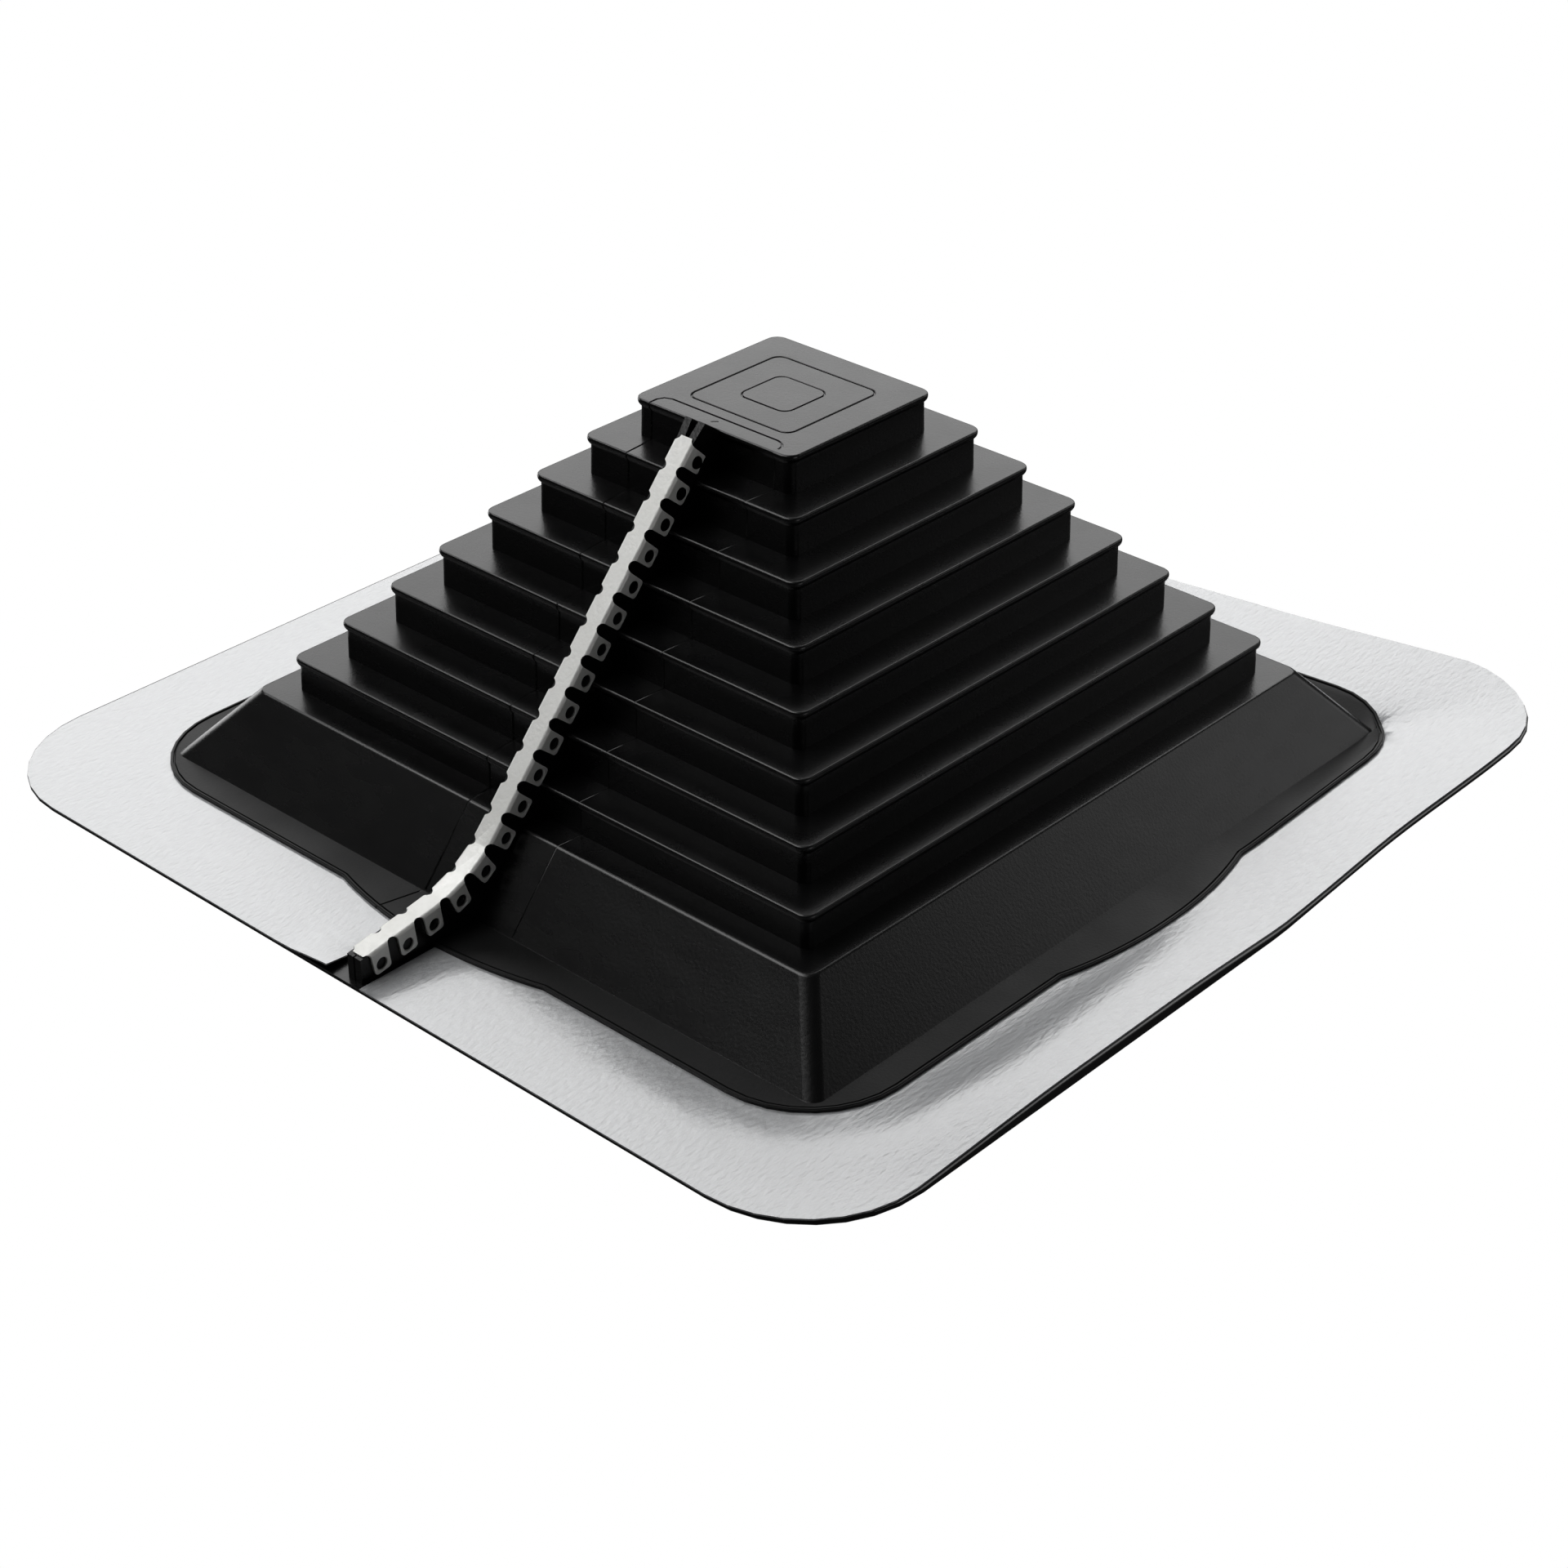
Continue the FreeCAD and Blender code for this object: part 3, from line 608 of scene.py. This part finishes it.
def loosened(x, y):
    """How far the aluminium stands off the rubber, left of the split and round the front."""
    at_split = ease(x, -34.0, -10.0) * ease(-y, 186.0, 207.0) * edge_curl if x < 0 else 0.0
    from_foot = math.hypot(max(x - 130.0, 0.0), max(-y - 130.0, 0.0)) - foot_corner
    round_corner = ease(x, 70.0, 120.0) * ease(-y, 90.0, 125.0)
    wave = ease(from_foot, 1.0, 12.0) * (1.0 - ease(from_foot, 12.0, 40.0))
    return at_split + round_corner * front_wave * wave


spring_up(ring, loosened)
bpy.ops.object.shade_smooth_by_angle(angle=math.radians(30))

aluminium, tree, sheen = shader("crinkled_aluminium", Metallic=0.35, Coat_Weight=1.0,
                                Coat_IOR=2.4, Coat_Roughness=0.17)
crinkle = marks(tree, 640.0, 3.0, (1.0, 0.4, 1.0))
cloud = marks(tree, 14.0, 3.0)
tree.links.new(tint(tree, cloud, (0.3, 0.425, 0.433, 0.445), (0.7, 0.440, 0.447, 0.457)),
               sheen.inputs["Base Color"])
tree.links.new(spread(tree, crinkle, 0.42, 0.55), sheen.inputs["Roughness"])
raise_marks(tree, sheen, crinkle, 0.0006, 1.0)
raise_marks(tree, sheen, crinkle, 0.0004, 0.12, socket="Coat Normal")
finish_with(ring, aluminium)
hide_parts("aluminium_flange")

# --- lips of the split -----------------------------------------------------------------------
# Two upright lips of the same rubber stand along the split, off the line of the rims, round a
# wide bend and out over the flange.  Their upper ends are cut square and stand open a little.
lip_thick = 2.95
slit = 0.6
lip_round = 0.7
lip_spread = 1.5
spread_length = 9.0
tip_half = top_wall + rim_proud
rim_slope = math.atan2(tier_rise, step_run)
lip_reach = 8.4
lip_end = 0.9
bend_radius = 46.0
toe_slope = math.radians(8.8)
toe_height = 11.9
ridge_top = Vector((-tip_half - lip_reach * math.sin(rim_slope),
                    top_height + lip_reach * math.cos(rim_slope)))
knee_reach = (ridge_top.y - toe_height - base_half * math.tan(toe_slope)
              - ridge_top.x * math.tan(rim_slope)) / (math.tan(rim_slope) - math.tan(toe_slope))
knee = Vector((-knee_reach, toe_height + (base_half - knee_reach) * math.tan(toe_slope)))
knee_to_bend = bend_radius * math.tan((rim_slope - toe_slope) / 2)
bend_start = (knee - ridge_top).length - knee_to_bend
bend_length = bend_radius * (rim_slope - toe_slope)
ridge_length = (bend_start + bend_length + (base_half - knee_reach) / math.cos(toe_slope)
                - knee_to_bend)


def ridge_point(distance):
    """A place on the ridge of the lips, in (y, z), by its distance from the upper end."""
    down = Vector((-math.cos(rim_slope), -math.sin(rim_slope)))
    if distance <= bend_start:
        return ridge_top + down * distance
    turned = rim_slope - min(distance - bend_start, bend_length) / bend_radius
    centre = (ridge_top + down * bend_start
              + Vector((-math.sin(rim_slope), math.cos(rim_slope))) * bend_radius)
    place = centre + Vector((math.sin(turned), -math.cos(turned))) * bend_radius
    past = max(0.0, distance - bend_start - bend_length)
    return place + Vector((-math.cos(toe_slope), -math.sin(toe_slope))) * past


def draw_outline(name, points):
    """Draws a flat outline in the plane of the split, point by point, and fills it."""
    first = Vector((0, points[0][0], points[0][1])) * MM
    bpy.ops.object.select_all(action="DESELECT")
    bpy.ops.mesh.primitive_plane_add(size=MM, location=first)
    piece = bpy.context.object
    piece.name = name
    bpy.ops.object.transform_apply(location=True, rotation=False, scale=False)
    bpy.ops.object.mode_set(mode="EDIT")
    bpy.ops.mesh.merge(type="CENTER")
    for before, here in zip(points, points[1:]):
        step = Vector((0, here[0] - before[0], here[1] - before[1])) * MM
        bpy.ops.mesh.extrude_region_move(TRANSFORM_OT_translate={"value": step})
    bpy.ops.mesh.select_all(action="SELECT")
    bpy.ops.mesh.edge_face_add()
    return piece


ridge = [tuple(ridge_point(lip_end + (bend_start - lip_end) * part / 12)) for part in range(12)]
ridge += [tuple(ridge_point(bend_start + bend_length * part / 14)) for part in range(15)]
ridge.append(tuple(ridge_point(ridge_length)))
lip_outline = ridge + [(-base_half, 1.2), (-skirt_half + 2, 1.2),
                       (-ledge_half, ledge_height - 1.2)]
for number in reversed(range(tier_count)):
    wall = top_wall + number * step_run - wall_thick / 2
    lip_outline.append((-wall, lip_outline[-1][1]))
    lip_outline.append((-wall, top_height - number * tier_rise - wall_thick / 2))
lip_outline.append((-tip_half + 1.0, top_height - wall_thick / 2))
lip_outline.append((-tip_half, top_height))


def on_ridge(edge):
    """Whether an edge of a lip lies along its ridge."""
    ends = [vertex.co / MM for vertex in edge.verts]
    return abs(ends[0].x - ends[1].x) < 0.01 and all(
        min((Vector((end.y, end.z)) - Vector(point)).length for point in ridge) < 0.05
        for end in ends)


for side, hand in (("left", -1), ("right", 1)):
    lip = draw_outline("lip_" + side, lip_outline)
    bpy.ops.mesh.extrude_region_move(
        TRANSFORM_OT_translate={"value": (hand * lip_thick * MM, 0, 0)})
    bpy.ops.mesh.select_all(action="SELECT")
    bpy.ops.transform.translate(value=(hand * slit / 2 * MM, 0, 0))
    bpy.ops.mesh.normals_make_consistent(inside=False)
    pick(lip, "edges", on_ridge)
    bpy.ops.mesh.bevel(offset=lip_round * MM, segments=3)
    bpy.ops.object.mode_set(mode="OBJECT")
    for vertex in lip.data.vertices:
        place = Vector((vertex.co.y, vertex.co.z)) / MM - ridge_top
        down = -(place.x * math.cos(rim_slope) + place.y * math.sin(rim_slope))
        vertex.co.x += hand * lip_spread * (1.0 - ease(down, -2.0, spread_length)) * MM
    bpy.ops.object.shade_smooth_by_angle(angle=math.radians(40))
    finish_with(lip, rubber)

# --- closing strip ---------------------------------------------------------------------------
# A punched and folded strip of soft metal that is pressed over both lips to hold the split shut.
# Its links have a tab with a hole on each side, and bend at the narrow necks between them.
link_pitch = 11.7
link_count = 18
strip_start = 7.4
strip_width = 8.7
strip_gauge = 0.85
fold_radius = 1.3
tab_depth = 9.3
tab_corner = 1.3
slot_half = 2.2
slot_bites = {-1: 2.3, 1: 1.4}
slot_start = 1.8
slot_flare = 0.4
hole_radius = 2.25
hole_down = 6.3
strip_stand = 0.5
edge_wear = 0.14


def at_fold(edge):
    """Whether an edge of the plain block is one of the two long ones that are folded."""
    middle = (edge.verts[0].co + edge.verts[1].co) / 2
    return abs(middle.z) < 1e-6 and abs(middle.x) > strip_width / 4 * MM


def at_tab_corner(edge):
    """Whether an edge runs through the sheet at a lower corner of a tab."""
    middle = (edge.verts[0].co + edge.verts[1].co) / 2 / MM
    level = (abs(edge.verts[0].co.z - edge.verts[1].co.z) < 0.01 * MM
             and abs(edge.verts[0].co.y - edge.verts[1].co.y) < 0.01 * MM)
    return (level and abs(middle.z + tab_depth) < 0.02 and abs(middle.y) > 1.0
            and abs(middle.x) > 3.0)


def at_neck(face):
    """Whether a face closes an end of the link, where the next link joins on."""
    middle = face.calc_center_median()
    return abs(face.normal.y) > 0.9 and abs(abs(middle.y) - link_pitch / 2 * MM) < 1e-6


bpy.ops.object.select_all(action="DESELECT")
bpy.ops.mesh.primitive_cube_add(size=1, location=(0, 0, -tab_depth / 2 * MM),
                                scale=(strip_width * MM, link_pitch * MM, tab_depth * MM))
link = bpy.context.object
link.name = "strip_link"
bpy.ops.object.transform_apply(location=True, rotation=False, scale=True)
bpy.ops.object.mode_set(mode="EDIT")
pick(link, "edges", at_fold)
bpy.ops.mesh.bevel(offset=fold_radius * MM, segments=6)
pick(link, "faces", lambda face: abs(face.normal.y) > 0.9 or face.normal.z < -0.9)
bpy.ops.mesh.delete(type="FACE")
bpy.ops.object.mode_set(mode="OBJECT")
wall = link.modifiers.new("wall", "SOLIDIFY")
wall.thickness = strip_gauge * MM
wall.offset = -1.0
wall.use_even_offset = True
bpy.ops.object.modifier_apply(modifier=wall.name)

for hand in (-1, 1):
    for end in (-1, 1):
        bpy.ops.object.select_all(action="DESELECT")
        bpy.ops.mesh.primitive_cylinder_add(
            vertices=32, radius=slot_half * MM, depth=16 * MM,
            location=(hand * (strip_width / 2 - slot_bites[hand] + slot_half * math.sqrt(2)) * MM,
                      end * link_pitch / 2 * MM, 0),
            rotation=(0, hand * math.radians(45), 0))
        join_or_cut(link, bpy.context.object, "DIFFERENCE")
        bpy.ops.object.select_all(action="DESELECT")
        bpy.ops.mesh.primitive_cube_add(
            size=1,
            location=(hand * 5.0 * MM, end * link_pitch / 2 * MM, -(slot_start + 7.0) * MM),
            scale=(4.0 * MM, 2 * slot_half * MM, 14 * MM))
        bpy.ops.object.transform_apply(location=True, rotation=False, scale=True)
        slot = bpy.context.object
        for vertex in slot.data.vertices:
            if vertex.co.z < -3 * MM:
                off_middle = vertex.co.y - end * link_pitch / 2 * MM
                vertex.co.y += math.copysign(slot_flare * MM, off_middle)
        join_or_cut(link, slot, "DIFFERENCE")
    bpy.ops.object.select_all(action="DESELECT")
    bpy.ops.mesh.primitive_cylinder_add(
        vertices=28, radius=hole_radius * MM, depth=4 * MM,
        location=(hand * strip_width / 2 * MM, 0, -hole_down * MM),
        rotation=(0, math.radians(90), 0))
    join_or_cut(link, bpy.context.object, "DIFFERENCE")
    bpy.ops.object.select_all(action="DESELECT")
    bpy.ops.mesh.primitive_cone_add(
        vertices=28, radius1=(hole_radius + 0.9) * MM, radius2=(hole_radius - 0.3) * MM,
        depth=1.2 * MM, location=(hand * strip_width / 2 * MM, 0, -hole_down * MM),
        rotation=(0, -hand * math.radians(90), 0))
    join_or_cut(link, bpy.context.object, "DIFFERENCE")

bpy.ops.object.mode_set(mode="EDIT")
pick(link, "edges", at_tab_corner)
bpy.ops.mesh.bevel(offset=tab_corner * MM, segments=4)
pick(link, "faces", at_neck)
bpy.ops.mesh.delete(type="FACE")
bpy.ops.object.mode_set(mode="OBJECT")

joints = [ridge_point(strip_start + number * link_pitch) for number in range(link_count + 1)]
slopes = [(after - before).normalized() for before, after in zip(joints, joints[1:])]
chain = []
for number in range(link_count):
    bpy.ops.object.select_all(action="DESELECT")
    link.select_set(True)
    bpy.context.view_layer.objects.active = link
    bpy.ops.object.duplicate(linked=False)
    copy = bpy.context.object
    down = slopes[number]
    outward = Vector((down.y, -down.x))
    before = slopes[number - 1] if number else down
    after = slopes[number + 1] if number < link_count - 1 else down
    for vertex in copy.data.vertices:
        x, y, z = vertex.co
        if abs(abs(y) - link_pitch / 2 * MM) < 1e-6:
            other = before if y > 0 else after
            turn = math.atan2(down.x * other.y - down.y * other.x, down.dot(other))
            y -= (z + strip_stand * MM) * math.tan(turn / 2)
        run = link_pitch / 2 * MM - y
        place = joints[number] * MM + down * run + outward * (z + strip_stand * MM)
        vertex.co = Vector((x, place.x, place.y))
    chain.append(copy)
bpy.data.objects.remove(link, do_unlink=True)
bpy.ops.object.select_all(action="DESELECT")
for copy in chain:
    copy.select_set(True)
bpy.context.view_layer.objects.active = chain[0]
bpy.ops.object.join()
strip = bpy.context.object
strip.name = "punched_strip"
bpy.ops.object.mode_set(mode="EDIT")
bpy.ops.mesh.select_all(action="SELECT")
bpy.ops.mesh.remove_doubles(threshold=0.04 * MM)
bpy.ops.mesh.fill_holes(sides=0)
bpy.ops.mesh.select_all(action="SELECT")
bpy.ops.mesh.normals_make_consistent(inside=False)
bpy.ops.object.mode_set(mode="OBJECT")
softened = strip.modifiers.new("softened", "BEVEL")
softened.width = edge_wear * MM
softened.segments = 2
softened.limit_method = "ANGLE"
softened.angle_limit = math.radians(40)
bpy.ops.object.modifier_apply(modifier=softened.name)
smooth_shading(strip, 40)

strip_metal, tree, shine = shader("satin_strip", Metallic=0.62)
speckle = marks(tree, 700.0, 3.0)
brushed = marks(tree, 500.0, 3.0, (1.0, 0.12, 0.12))
cast = marks(tree, 30.0, 2.0)
tree.links.new(tint(tree, cast, (0.3, 0.80, 0.80, 0.77), (0.7, 0.86, 0.86, 0.84)),
               shine.inputs["Base Color"])
tree.links.new(spread(tree, speckle, 0.50, 0.64), shine.inputs["Roughness"])
rough = raise_marks(tree, shine, speckle, 0.00018, 0.5)
raise_marks(tree, shine, brushed, 0.00012, 0.6, rough)
finish_with(strip, strip_metal)
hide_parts("closing_strip")
